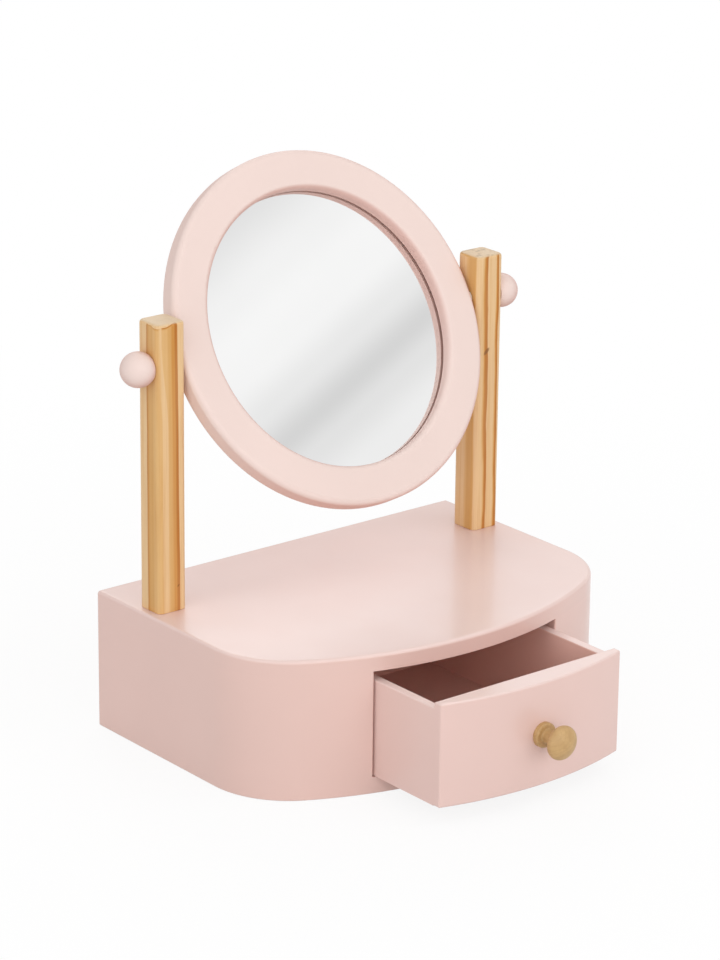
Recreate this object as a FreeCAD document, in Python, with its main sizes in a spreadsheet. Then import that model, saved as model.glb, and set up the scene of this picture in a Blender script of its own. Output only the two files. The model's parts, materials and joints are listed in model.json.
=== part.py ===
import FreeCAD, Part
import math
import os
import re
from enum import IntEnum

import Sketcher
from FreeCAD import Placement, Rotation, Vector

# Tabletop makeup mirror: a bow-fronted box with one drawer, two posts and a round mirror that
# turns between them. Millimetres, +Z up, +X to the object's right, the front faces -Y.
# The origin is the middle of the box's footprint, on the surface that it stands on.
# The drawer is modelled pulled out by drawer_pull, and the mirror leans back by mirror_lean.

SIZES = {
    # Box
    "base_width": 250,
    "base_depth": 176.5,
    "opening_height": 60.5,
    "opening_width": 127,
    "board_thickness": 9.5,
    "wall_thickness": 9.5,
    "back_thickness": 9.5,
    "guide_thickness": 6,
    "corner_radius": 50,
    "bow_radius": 210,
    "top_edge_round": 2,
    "foot_edge_round": 0.8,
    "back_corner_round": 2,
    "jamb_round": 0.8,
    # Posts
    "post_size": 18.6,
    "post_side_margin": 4.9,
    "post_height": 162.5,
    "post_setback": 43,
    "post_edge_round": 3.4,
    "post_top_round": 2,
    "post_foot_round": 0.5,
    "pivot_height": 137.5,
    # Mirror
    "mirror_lean": 29,
    "rim_wall": 10.2,
    "ring_thickness": 12.5,
    "ring_gap": 0.8,
    "ring_front_round": 3.2,
    "ring_inner_round": 3,
    "ring_back_round": 2.4,
    "mirror_thickness": 2,
    "mirror_lap": 4,
    "backing_thickness": 4,
    "backing_lap": 8,
    "plate_clearance": 0.3,
    # Pivots
    "stud_diameter": 5,
    "stud_end_gap": 1,
    "stud_grip_ball": 11,
    "stud_clearance": 0.08,
    "insert_diameter": 7,
    "insert_floor": 0.7,
    "washer_diameter": 9,
    "spot_face_depth": 0.5,
    "running_gap": 0.3,
    "ball_diameter": 19.5,
    "ball_seat_offset": 5.9,
    # Drawer
    "drawer_pull": 53,
    "drawer_lift": 0.3,
    "drawer_stop_gap": 0.5,
    "front_side_gap": 0.75,
    "front_top_gap": 1.5,
    "front_end_thickness": 5,
    "front_edge_round": 1.2,
    "side_thickness": 5.5,
    "side_inset": 0.3,
    "side_drop": 4,
    "side_top_round": 0.8,
    "guide_gap": 0.5,
    "tongue_length": 2,
    "tongue_thickness": 2.5,
    "drawer_back_thickness": 5,
    "floor_thickness": 3,
    "floor_lift": 2,
    "floor_groove": 2.5,
    "groove_clearance": 0.2,
    # Drawer knob
    "knob_diameter": 19,
    "knob_reach": 20.2,
    "knob_ball_length": 10.4,
    "knob_face_rise": 2.1,
    "knob_neck_diameter": 7.2,
    "knob_cove_radius": 1,
    "knob_flange_diameter": 14,
    "knob_flange_thickness": 3.2,
    "knob_flange_round": 1.2,
    # Fasteners
    "fastener_clearance": 0.05,
    "fastener_setback": 25,
    "jamb_fastener_offset": 12,
    "back_fastener_spacing": 80,
    "dowel_diameter": 6,
    "dowel_in_board": 7,
    "dowel_in_wall": 12,
    "dowel_in_post": 18,
    "wall_screw_diameter": 3.5,
    "wall_screw_head": 7,
    "wall_screw_length": 30,
    "post_pin_spacing": 8.5,
    "post_screw_diameter": 4,
    "post_screw_head": 7.6,
    "post_screw_length": 40,
    "backing_screw_diameter": 2.5,
    "backing_screw_head": 5,
    "backing_screw_length": 8,
    "backing_screw_count": 6,
    "knob_screw_diameter": 4,
    "knob_screw_head": 8,
    "knob_screw_head_height": 2.4,
    "knob_screw_grip": 11,
    "brad_diameter": 1.2,
    "brad_length": 15,
    "brad_spacing": 26,
}

DERIVED = {
    # Box: the bow's centre lies on the middle line, and the corner arcs meet the bow and the sides
    "base_height": "opening_height + 2 * board_thickness",
    "back_y": "base_depth / 2",
    "bow_centre": "bow_radius - base_depth / 2",
    "corner_x": "base_width / 2 - corner_radius",
    "corner_y": "bow_centre - sqrt((bow_radius - corner_radius) ^ 2 - corner_x ^ 2)",
    "jamb_x": "opening_width / 2",
    "wall_mid_x": "(base_width - wall_thickness) / 2",
    # Posts and mirror
    "post_x": "base_width / 2 - post_side_margin - post_size / 2",
    "post_y": "back_y - post_setback",
    "pivot_z": "base_height + pivot_height",
    "ring_radius": "post_x - post_size / 2 - ring_gap",
    "ring_front": "ring_thickness / 2",
    "mirror_front": "backing_front + mirror_thickness",
    "backing_front": "backing_thickness - ring_front",
    "backing_seat_radius": "ring_radius - rim_wall",
    "mirror_seat_radius": "backing_seat_radius - backing_lap",
    "opening_radius": "mirror_seat_radius - mirror_lap",
    "backing_screw_radius": "mirror_seat_radius + backing_lap / 2",
    # Pivots, as distances from the middle of the ring
    "spot_face_x": "ring_radius - spot_face_depth",
    "insert_length": "rim_wall - spot_face_depth - insert_floor",
    "stud_grip_ring": "insert_length - stud_end_gap",
    "washer_thickness": "spot_face_depth + ring_gap - running_gap",
    "ball_seat_x": "post_x + post_size / 2 + running_gap",
    "stud_length": "ball_seat_x - spot_face_x + stud_grip_ring + stud_grip_ball",
    # Drawer, where it stands when shut
    "front_half": "jamb_x - front_side_gap",
    "front_bottom": "board_thickness + drawer_lift",
    "front_height": "opening_height - drawer_lift - front_top_gap",
    "front_back_y": "bow_centre - sqrt(bow_radius ^ 2 - front_half ^ 2) + front_end_thickness",
    "side_height": "front_height - side_drop",
    "side_outer": "front_half - side_inset",
    "side_inner": "side_outer - side_thickness",
    "drawer_rear_y": "back_y - back_thickness - drawer_stop_gap",
    "floor_top": "floor_lift + floor_thickness",
    "guide_inner": "side_outer + guide_gap",
    "guide_front_y": "bow_centre - sqrt((bow_radius - wall_thickness) ^ 2 - (guide_inner + guide_thickness) ^ 2)",
    "knob_z": "front_bottom + front_height / 2",
    "knob_ball_centre": "knob_reach - knob_ball_length / 2",
    "knob_side_round": "knob_ball_length / 2 - knob_face_rise",
}

SHEET_OF = {name: "sizes" for name in SIZES} | {name: "derived" for name in DERIVED}
TOLERANCE = 1e-4
SCREW_CONE = 90  # degrees, across a sunk head


class SketchPoint(IntEnum):
    """The sketcher's own numbers for a curve's points."""

    START = 1
    END = 2
    CENTRE = 3


class SketchAxis(IntEnum):
    """The sketcher's own numbers for its axes."""

    HORIZONTAL = -1
    VERTICAL = -2


START, END, CENTRE = SketchPoint
H_AXIS, V_AXIS = SketchAxis
ORIGIN = (H_AXIS, START)

doc = FreeCAD.newDocument("makeup_mirror")


def bound(formula, inside=None):
    """The formula with each size's name led by the sheet that holds it."""

    def lead(match):
        sheet = SHEET_OF.get(match[0])
        return match[0] if sheet in (None, inside) else f"{sheet}.{match[0]}"

    return re.sub(r"[a-z]\w*", lead, formula)


def make_sheet(name, cells):
    sheet = doc.addObject("Spreadsheet::Sheet", name)
    for row, (alias, content) in enumerate(cells.items(), start=1):
        sheet.set(f"A{row}", alias)
        sheet.set(f"B{row}", content)
        sheet.setAlias(f"B{row}", alias)
    doc.recompute()
    return sheet


sizes = make_sheet("sizes", {name: str(size) for name, size in SIZES.items()})
derived = make_sheet("derived", {name: "=" + bound(text, "derived") for name, text in DERIVED.items()})


def value(formula):
    return float(sizes.evalExpression(bound(formula)))


# Sketch helpers: every point and radius is a formula in the sheets' names


def new_body(label):
    body = doc.addObject("PartDesign::Body", label)
    body.Label = label
    return body


def origin_feature(body, role):
    return next(feature for feature in body.Origin.OriginFeatures if feature.Role == role)


def new_sketch(body, role="XY_Plane", offset="0"):
    sketch = body.newObject("Sketcher::SketchObject", f"{body.Name}_sketch")
    sketch.AttachmentSupport = [(origin_feature(body, role), "")]
    sketch.MapMode = "FlatFace"
    sketch.setExpression("AttachmentOffset.Base.z", bound(offset))
    return sketch


def relate(sketch, kind, *elements):
    return sketch.addConstraint(Sketcher.Constraint(kind, *elements))


def measure(sketch, kind, *elements, formula):
    index = relate(sketch, kind, *elements, value(formula))
    sketch.setExpression(f"Constraints[{index}]", bound(formula))


def pin_x(sketch, element, point, formula):
    if formula == "0":
        relate(sketch, "PointOnObject", element, point, V_AXIS)
    else:
        measure(sketch, "DistanceX", *ORIGIN, element, point, formula=formula)


def pin_y(sketch, element, point, formula):
    if formula == "0":
        relate(sketch, "PointOnObject", element, point, H_AXIS)
    else:
        measure(sketch, "DistanceY", *ORIGIN, element, point, formula=formula)


def polygon(sketch, corners):
    """A closed outline of straight lines through the corners, each a pair of formulas."""
    points = [Vector(value(x), value(y), 0) for x, y in corners]
    sides = [sketch.addGeometry(Part.LineSegment(a, b)) for a, b in zip(points, points[1:] + points[:1])]
    for side, (x, y) in zip(sides, corners):
        pin_x(sketch, side, START, x)
        pin_y(sketch, side, START, y)
    for side, following in zip(sides, sides[1:] + sides[:1]):
        relate(sketch, "Coincident", side, END, following, START)


def rectangle(sketch, x_range, y_range):
    (x0, x1), (y0, y1) = x_range, y_range
    polygon(sketch, [(x0, y0), (x1, y0), (x1, y1), (x0, y1)])


def circles(sketch, places, diameter):
    for x, y in places:
        middle = Vector(value(x), value(y), 0)
        circle = sketch.addGeometry(Part.Circle(middle, Vector(0, 0, 1), value(diameter) / 2))
        pin_x(sketch, circle, CENTRE, x)
        pin_y(sketch, circle, CENTRE, y)
        measure(sketch, "Diameter", circle, formula=diameter)


def arc(centre, radius, start, end):
    """A counter-clockwise arc between two angles in radians."""
    circle = Part.Circle(Vector(*centre, 0), Vector(0, 0, 1), radius)
    return Part.ArcOfCircle(circle, start, end)


def line(start, end):
    return Part.LineSegment(Vector(*start, 0), Vector(*end, 0))


# Feature helpers


def feature(body, kind, **settings):
    made = body.newObject(f"PartDesign::{kind}", f"{body.Name}_{kind}")
    for name, setting in settings.items():
        setattr(made, name, setting)
    return made


def pad(body, sketch, length, **settings):
    made = feature(body, "Pad", Profile=sketch, **settings)
    made.setExpression("Length", bound(length))
    doc.recompute()
    return made


def revolve(body, sketch, axis):
    feature(body, "Revolution", Profile=sketch, ReferenceAxis=(sketch, [axis]), Angle=360)
    doc.recompute()


def checked_cut(body, before):
    """A cut that points away from the solid takes nothing off, so the volume has to drop."""
    doc.recompute()
    if body.Shape.Volume > before - TOLERANCE:
        raise RuntimeError(f"a cut in {body.Label} takes nothing off")


def pocket(body, sketch, depth=None, **settings):
    before = body.Shape.Volume
    made = feature(body, "Pocket", Profile=sketch, **settings)
    if depth is None:
        made.Type = "ThroughAll"
        made.SideType = "Symmetric"
    else:
        made.setExpression("Length", bound(depth))
    checked_cut(body, before)
    return made


def groove(body, sketch, axis):
    before = body.Shape.Volume
    feature(body, "Groove", Profile=sketch, ReferenceAxis=(sketch, [axis]), Angle=360)
    checked_cut(body, before)


def countersunk_holes(body, sketch, screw):
    """Clearance holes for one of the sheet's screws, sunk at the sketch and drilled along its normal."""
    before = body.Shape.Volume
    doc.recompute()
    made = feature(body, "Hole", Profile=sketch)
    doc.recompute()
    made.Threaded = False
    made.DepthType = "ThroughAll"
    made.HoleCutType = "Countersink"
    made.HoleCutCustomValues = True
    made.HoleCutCountersinkAngle = SCREW_CONE
    made.Reversed = True
    made.setExpression("Diameter", bound(f"{screw}_diameter + 2 * fastener_clearance"))
    made.setExpression("HoleCutDiameter", bound(f"{screw}_head + 2 * fastener_clearance"))
    checked_cut(body, before)
    return made


def around(body, original, count):
    """Repeat a feature evenly round the body's own Z axis."""
    pattern = feature(body, "PolarPattern", Originals=[original], Angle=360)
    pattern.Axis = (origin_feature(body, "Z_Axis"), [""])
    pattern.setExpression("Occurrences", bound(count))
    body.Tip = pattern
    doc.recompute()


def round_edges(body, radius, chosen):
    base = body.Tip
    names = [f"Edge{i}" for i, edge in enumerate(base.Shape.Edges, start=1) if chosen(edge)]
    made = feature(body, "Fillet", Base=(base, names))
    made.setExpression("Radius", bound(radius))
    doc.recompute()


def edge_points(edge):
    first, last = edge.ParameterRange
    return [edge.valueAt(first + (last - first) * share) for share in (0, 0.3, 0.5, 1)]


def lies_at(**levels):
    """Chooses the edges whose every point has the given coordinates, each a formula."""
    wanted = {axis: value(formula) for axis, formula in levels.items()}

    def chosen(edge):
        return all(abs(getattr(point, axis) - level) < TOLERANCE
                   for point in edge_points(edge) for axis, level in wanted.items())

    return chosen


def behind(level):
    """Chooses the edges that reach further back than this level, a formula."""
    limit = value(level) + TOLERANCE
    return lambda edge: any(point.y > limit for point in edge_points(edge))


def upright(edge):
    start, *_, end = edge_points(edge)
    return abs(start.x - end.x) + abs(start.y - end.y) < TOLERANCE


def lies_on_ring(radius, level):
    """Chooses the circular edges of this radius about the body's Z axis, at this height."""
    wanted, height = value(radius), value(level)

    def chosen(edge):
        return all(abs(math.hypot(point.x, point.y) - wanted) < TOLERANCE
                   and abs(point.z - height) < TOLERANCE for point in edge_points(edge))

    return chosen


def place(piece, x="0", y="0", z="0"):
    for axis, formula in (("x", x), ("y", y), ("z", z)):
        piece.setExpression(f"Placement.Base.{axis}", bound(formula))
    doc.recompute()


def mirrored(label, source):
    """The left-hand twin of a right-hand piece."""
    twin = doc.addObject("Part::Mirroring", label)
    twin.Label = label
    twin.Source = source
    twin.Base = Vector(0, 0, 0)
    twin.Normal = Vector(1, 0, 0)
    doc.recompute()
    return twin


def both_sides(places):
    return places + [(f"-({x})", y) for x, y in places]


# Box: boards, bent walls, back and drawer guides


def corner_angle():
    """The direction, from the bow's centre, of the point where the corner meets the bow."""
    return math.atan2(value("corner_y - bow_centre"), value("corner_x"))


def bow_outline(sketch):
    """The box from above: straight back and sides, round front corners and a bowed front."""
    half, back, turn = value("base_width / 2"), value("back_y"), corner_angle()
    corner, side_end = (value("corner_x"), value("corner_y")), value("corner_y")
    radius = value("corner_radius")
    left, left_corner, bow, right_corner, right, rear = sketch.addGeometry([
        line((-half, back), (-half, side_end)),
        arc((-corner[0], corner[1]), radius, math.pi, math.pi - turn),
        arc((0, value("bow_centre")), value("bow_radius"), math.pi - turn, 2 * math.pi + turn),
        arc(corner, radius, turn, 0),
        line((half, side_end), (half, back)),
        line((half, back), (-half, back)),
    ])
    relate(sketch, "Tangent", left, END, left_corner, START)
    relate(sketch, "Tangent", left_corner, END, bow, START)
    relate(sketch, "Tangent", bow, END, right_corner, START)
    relate(sketch, "Tangent", right_corner, END, right, START)
    relate(sketch, "Coincident", right, END, rear, START)
    relate(sketch, "Coincident", rear, END, left, START)
    relate(sketch, "Vertical", left)
    relate(sketch, "Vertical", right)
    relate(sketch, "Horizontal", rear)
    measure(sketch, "Radius", left_corner, formula="corner_radius")
    measure(sketch, "Radius", right_corner, formula="corner_radius")
    measure(sketch, "Radius", bow, formula="bow_radius")
    pin_x(sketch, bow, CENTRE, "0")
    pin_y(sketch, bow, CENTRE, "bow_centre")
    pin_x(sketch, left, START, "-base_width / 2")
    pin_x(sketch, right, END, "base_width / 2")
    pin_y(sketch, rear, START, "back_y")


def wall_outline(sketch):
    """The right wall from above: the box's outline and its offset, from the back to the drawer's jamb."""
    half, back, jamb = value("base_width / 2"), value("back_y"), value("jamb_x")
    wall, turn = value("wall_thickness"), corner_angle()
    corner, side_end, radius = (value("corner_x"), value("corner_y")), value("corner_y"), value("corner_radius")
    middle, bow = (0, value("bow_centre")), value("bow_radius")
    outer_jamb = -math.acos(jamb / bow)
    inner_jamb = -math.acos(jamb / (bow - wall))
    jamb_outer = (jamb, middle[1] + bow * math.sin(outer_jamb))
    jamb_inner = (jamb, middle[1] + (bow - wall) * math.sin(inner_jamb))
    outer_bow, outer_corner, outer_side, rear, inner_side, inner_corner, inner_bow, end = sketch.addGeometry([
        arc(middle, bow, outer_jamb, turn),
        arc(corner, radius, turn, 0),
        line((half, side_end), (half, back)),
        line((half, back), (half - wall, back)),
        line((half - wall, back), (half - wall, side_end)),
        arc(corner, radius - wall, turn, 0),
        arc(middle, bow - wall, inner_jamb, turn),
        line(jamb_inner, jamb_outer),
    ])
    relate(sketch, "Tangent", outer_bow, END, outer_corner, START)
    relate(sketch, "Tangent", outer_corner, END, outer_side, START)
    relate(sketch, "Coincident", outer_side, END, rear, START)
    relate(sketch, "Coincident", rear, END, inner_side, START)
    relate(sketch, "Tangent", inner_side, END, inner_corner, END)
    relate(sketch, "Tangent", inner_corner, START, inner_bow, END)
    relate(sketch, "Coincident", inner_bow, START, end, START)
    relate(sketch, "Coincident", end, END, outer_bow, START)
    relate(sketch, "Coincident", inner_corner, CENTRE, outer_corner, CENTRE)
    relate(sketch, "Coincident", inner_bow, CENTRE, outer_bow, CENTRE)
    relate(sketch, "Vertical", outer_side)
    relate(sketch, "Vertical", inner_side)
    relate(sketch, "Vertical", end)
    relate(sketch, "Horizontal", rear)
    measure(sketch, "Radius", outer_corner, formula="corner_radius")
    measure(sketch, "Radius", outer_bow, formula="bow_radius")
    pin_x(sketch, outer_bow, CENTRE, "0")
    pin_y(sketch, outer_bow, CENTRE, "bow_centre")
    pin_x(sketch, outer_side, START, "base_width / 2")
    pin_x(sketch, inner_side, START, "base_width / 2 - wall_thickness")
    pin_y(sketch, rear, START, "back_y")
    pin_x(sketch, end, START, "jamb_x")


JAMB_FASTENER_X = "jamb_x + jamb_fastener_offset"
JAMB_FASTENER_Y = f"bow_centre - sqrt((bow_radius - wall_thickness / 2) ^ 2 - ({JAMB_FASTENER_X}) ^ 2)"
WALL_FASTENERS = [
    ("wall_mid_x", "back_y - fastener_setback"),
    ("wall_mid_x", "corner_y"),
    (JAMB_FASTENER_X, JAMB_FASTENER_Y),
]
BACK_FASTENERS = both_sides([("back_fastener_spacing / 2", "back_y - back_thickness / 2")])
BOX_FASTENERS = both_sides(WALL_FASTENERS) + BACK_FASTENERS
POST_DOWELS = both_sides([("post_x", "post_y - post_pin_spacing / 2")])
POST_SCREWS = both_sides([("post_x", "post_y + post_pin_spacing / 2")])


def hole_sketch(body, places, diameter, offset="0"):
    sketch = new_sketch(body, offset=offset)
    circles(sketch, places, f"{diameter} + 2 * fastener_clearance")
    return sketch


def make_bottom_panel():
    body = new_body("bottom_panel")
    outline = new_sketch(body)
    bow_outline(outline)
    pad(body, outline, "board_thickness")
    round_edges(body, "back_corner_round", lambda edge: upright(edge) and lies_at(y="back_y")(edge))
    round_edges(body, "foot_edge_round", lies_at(z="0"))
    countersunk_holes(body, hole_sketch(body, BOX_FASTENERS, "wall_screw_diameter"), "wall_screw")
    return body


def make_top_panel():
    body = new_body("top_panel")
    outline = new_sketch(body)
    bow_outline(outline)
    pad(body, outline, "board_thickness")
    round_edges(body, "back_corner_round", lambda edge: upright(edge) and lies_at(y="back_y")(edge))
    round_edges(body, "top_edge_round", lies_at(z="board_thickness"))
    depth = "dowel_in_board + fastener_clearance"
    pocket(body, hole_sketch(body, BOX_FASTENERS, "dowel_diameter"), depth, Reversed=True)
    pocket(body, hole_sketch(body, POST_DOWELS, "dowel_diameter", "board_thickness"), depth)
    countersunk_holes(body, hole_sketch(body, POST_SCREWS, "post_screw_diameter"), "post_screw")
    place(body, z="base_height - board_thickness")
    return body


def drill_wall(body, places):
    """Dowel holes in the upper edge and screw holes in the lower edge of a wall."""
    dowels = hole_sketch(body, places, "dowel_diameter", "opening_height")
    pocket(body, dowels, "dowel_in_wall + fastener_clearance")
    screws = hole_sketch(body, places, "wall_screw_diameter")
    pocket(body, screws, "wall_screw_length - board_thickness + fastener_clearance", Reversed=True)


def make_right_wall():
    body = new_body("right_wall")
    outline = new_sketch(body)
    wall_outline(outline)
    pad(body, outline, "opening_height")
    round_edges(body, "back_corner_round",
                lambda edge: upright(edge) and lies_at(x="base_width / 2", y="back_y")(edge))
    jamb_front = "bow_centre - sqrt(bow_radius ^ 2 - jamb_x ^ 2)"
    round_edges(body, "jamb_round", lies_at(x="jamb_x", y=jamb_front))
    drill_wall(body, WALL_FASTENERS)
    place(body, z="board_thickness")
    return body


def make_back_panel():
    body = new_body("back_panel")
    outline = new_sketch(body)
    half = "base_width / 2 - wall_thickness"
    rectangle(outline, (f"-({half})", half), ("back_y - back_thickness", "back_y"))
    pad(body, outline, "opening_height")
    drill_wall(body, BACK_FASTENERS)
    place(body, z="board_thickness")
    return body


def make_right_guide():
    body = new_body("right_drawer_guide")
    outline = new_sketch(body)
    rectangle(outline, ("guide_inner", "guide_inner + guide_thickness"), ("guide_front_y", "back_y - back_thickness"))
    pad(body, outline, "opening_height")
    place(body, z="board_thickness")
    return body


def make_box():
    make_bottom_panel()
    make_top_panel()
    mirrored("left_wall", make_right_wall())
    make_back_panel()
    mirrored("left_drawer_guide", make_right_guide())


# Fasteners of the box


def make_pins(label, places, diameter, bottom, length):
    body = new_body(label)
    sketch = new_sketch(body)
    circles(sketch, places, diameter)
    pad(body, sketch, length)
    place(body, z=bottom)


def make_screws(label, places, screw, bottom):
    """Countersunk screws pointing up, with their heads flush with the level called bottom."""
    body = new_body(label)
    heads = new_sketch(body)
    circles(heads, places, f"{screw}_head")
    pad(body, heads, f"({screw}_head - {screw}_diameter) / 2", TaperAngle=-SCREW_CONE / 2)
    shanks = new_sketch(body)
    circles(shanks, places, f"{screw}_diameter")
    pad(body, shanks, f"{screw}_length")
    place(body, z=bottom)


def make_box_fasteners():
    make_screws("bottom_screws", BOX_FASTENERS, "wall_screw", "0")
    make_screws("post_screws", POST_SCREWS, "post_screw", "base_height - board_thickness")
    wall_top = "base_height - board_thickness"
    make_pins("wall_dowels", BOX_FASTENERS, "dowel_diameter", f"{wall_top} - dowel_in_wall",
              "dowel_in_wall + dowel_in_board")
    make_pins("post_dowels", POST_DOWELS, "dowel_diameter", "base_height - dowel_in_board",
              "dowel_in_board + dowel_in_post")


# Posts


def make_right_post():
    body = new_body("right_post")
    section = new_sketch(body)
    half = ("-post_size / 2", "post_size / 2")
    rectangle(section, half, half)
    pad(body, section, "post_height")
    round_edges(body, "post_edge_round", upright)
    round_edges(body, "post_top_round", lies_at(z="post_height"))
    round_edges(body, "post_foot_round", lies_at(z="0"))
    pivot = new_sketch(body, "YZ_Plane")
    circles(pivot, [("0", "pivot_height")], "stud_diameter + 2 * stud_clearance")
    pocket(body, pivot)
    dowel = hole_sketch(body, [("0", "-post_pin_spacing / 2")], "dowel_diameter")
    pocket(body, dowel, "dowel_in_post + fastener_clearance", Reversed=True)
    screw = hole_sketch(body, [("0", "post_pin_spacing / 2")], "post_screw_diameter")
    pocket(body, screw, "post_screw_length - board_thickness + fastener_clearance", Reversed=True)
    place(body, "post_x", "post_y", "base_height")
    return body


# Mirror: its bodies have X along the pivot, Y up the glass and Z out of the glass


def lean(body):
    """Hang a mirror piece on the pivot, leaning back."""
    body.Placement = Placement(Vector(), Rotation(Vector(1, 0, 0), 90))
    body.setExpression("Placement.Rotation.Angle", bound("(90 - mirror_lean) * 1 deg"))
    place(body, "0", "post_y", "pivot_z")


def make_mirror_frame():
    """A turned ring: a lip in front of the glass, a seat for it and a wider seat for the backing."""
    body = new_body("mirror_frame")
    section = new_sketch(body, "XZ_Plane")
    polygon(section, [
        ("opening_radius", "ring_front"),
        ("opening_radius", "mirror_front"),
        ("mirror_seat_radius", "mirror_front"),
        ("mirror_seat_radius", "backing_front"),
        ("backing_seat_radius", "backing_front"),
        ("backing_seat_radius", "-ring_front"),
        ("ring_radius", "-ring_front"),
        ("ring_radius", "ring_front"),
    ])
    revolve(body, section, "V_Axis")
    round_edges(body, "ring_front_round", lies_on_ring("ring_radius", "ring_front"))
    round_edges(body, "ring_inner_round", lies_on_ring("opening_radius", "ring_front"))
    round_edges(body, "ring_back_round", lies_on_ring("ring_radius", "-ring_front"))
    bores = new_sketch(body)
    insert = "insert_diameter / 2 + fastener_clearance"
    depth = "spot_face_x - insert_length - fastener_clearance"
    clear_of_rim = "ring_radius + ring_gap"
    for sign in ("", "-"):
        polygon(bores, [(f"{sign}({x})", y) for x, y in (
            (depth, "0"),
            (depth, insert),
            ("spot_face_x", insert),
            ("spot_face_x", "washer_diameter / 2 + running_gap"),
            (clear_of_rim, "washer_diameter / 2 + running_gap"),
            (clear_of_rim, "0"),
        )])
    groove(body, bores, "H_Axis")
    pilot = new_sketch(body, offset="backing_front")
    circles(pilot, [("0", "backing_screw_radius")], "backing_screw_diameter + 2 * fastener_clearance")
    hole = pocket(body, pilot, "backing_screw_length - backing_thickness + fastener_clearance", Reversed=True)
    around(body, hole, "backing_screw_count")
    lean(body)


def make_disc(label, radius, rear, thickness):
    body = new_body(label)
    outline = new_sketch(body, offset=rear)
    circles(outline, [("0", "0")], f"2 * ({radius} - plate_clearance)")
    pad(body, outline, thickness)
    return body


def make_backing():
    body = make_disc("backing_panel", "backing_seat_radius", "-ring_front", "backing_thickness")
    hole = new_sketch(body, offset="-ring_front")
    circles(hole, [("0", "backing_screw_radius")], "backing_screw_diameter + 2 * fastener_clearance")
    around(body, countersunk_holes(body, hole, "backing_screw"), "backing_screw_count")
    lean(body)


def make_backing_screws():
    body = new_body("backing_screws")
    section = new_sketch(body, "YZ_Plane")
    shank = "backing_screw_radius + backing_screw_diameter / 2"
    tip = "backing_screw_length - ring_front"
    neck = "(backing_screw_head - backing_screw_diameter) / 2 - ring_front"
    polygon(section, [
        ("backing_screw_radius", "-ring_front"),
        ("backing_screw_radius + backing_screw_head / 2", "-ring_front"),
        (shank, neck),
        (shank, tip),
        ("backing_screw_radius", tip),
    ])
    axis_line = section.GeometryCount - 1
    made = feature(body, "Revolution", Profile=section, ReferenceAxis=(section, [f"Edge{axis_line + 1}"]), Angle=360)
    doc.recompute()
    around(body, made, "backing_screw_count")
    lean(body)


def make_tube(label, start, length, outer, inner=None):
    """A piece on the right pivot: a round bar or sleeve along X that begins at start."""
    body = new_body(label)
    section = new_sketch(body, "YZ_Plane", start)
    circles(section, [("0", "0")], outer)
    if inner:
        circles(section, [("0", "0")], inner)
    pad(body, section, length)
    lean(body)
    return body


def make_right_ball():
    """A ball with a flat seat towards the post and a blind hole for the stud."""
    body = new_body("right_ball_knob")
    section = new_sketch(body)
    bore = value("stud_diameter / 2 + fastener_clearance")
    seat, depth = value("ball_seat_x"), value("ball_seat_x + stud_grip_ball + fastener_clearance")
    middle, radius = value("ball_seat_x + ball_seat_offset"), value("ball_diameter / 2")
    seat_angle = math.acos((seat - middle) / radius)
    seat_edge = (seat, radius * math.sin(seat_angle))
    dome, flat, wall, end, axis = section.addGeometry([
        arc((middle, 0), radius, 0, seat_angle),
        line(seat_edge, (seat, bore)),
        line((seat, bore), (depth, bore)),
        line((depth, bore), (depth, 0)),
        line((depth, 0), (middle + radius, 0)),
    ])
    for first, second in ((flat, wall), (wall, end), (end, axis)):
        relate(section, "Coincident", first, END, second, START)
    relate(section, "Coincident", dome, END, flat, START)
    relate(section, "Coincident", axis, END, dome, START)
    relate(section, "Vertical", flat)
    relate(section, "Vertical", end)
    relate(section, "Horizontal", wall)
    pin_y(section, axis, START, "0")
    pin_y(section, axis, END, "0")
    pin_y(section, dome, CENTRE, "0")
    pin_x(section, dome, CENTRE, "ball_seat_x + ball_seat_offset")
    measure(section, "Radius", dome, formula="ball_diameter / 2")
    pin_x(section, flat, START, "ball_seat_x")
    pin_x(section, end, START, "ball_seat_x + stud_grip_ball + fastener_clearance")
    pin_y(section, wall, START, "stud_diameter / 2 + fastener_clearance")
    revolve(body, section, "H_Axis")
    lean(body)
    return body


def make_pivots():
    bore = "stud_diameter + 2 * fastener_clearance"
    pieces = {
        "pivot_stud": make_tube("right_pivot_stud", "spot_face_x - stud_grip_ring", "stud_length", "stud_diameter"),
        "pivot_insert": make_tube("right_pivot_insert", "spot_face_x - insert_length", "insert_length",
                                  "insert_diameter", bore),
        "pivot_washer": make_tube("right_pivot_washer", "spot_face_x", "washer_thickness", "washer_diameter", bore),
        "ball_knob": make_right_ball(),
    }
    for name, piece in pieces.items():
        mirrored(f"left_{name}", piece)


def make_mirror():
    make_mirror_frame()
    plate = make_disc("mirror_plate", "mirror_seat_radius", "backing_front", "mirror_thickness")
    lean(plate)
    make_backing()
    make_backing_screws()
    make_pivots()


# Drawer: its bodies are drawn shut, and each stands drawer_pull further out


def pull_out(body, z="front_bottom"):
    place(body, "0", "-drawer_pull", z)


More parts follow.
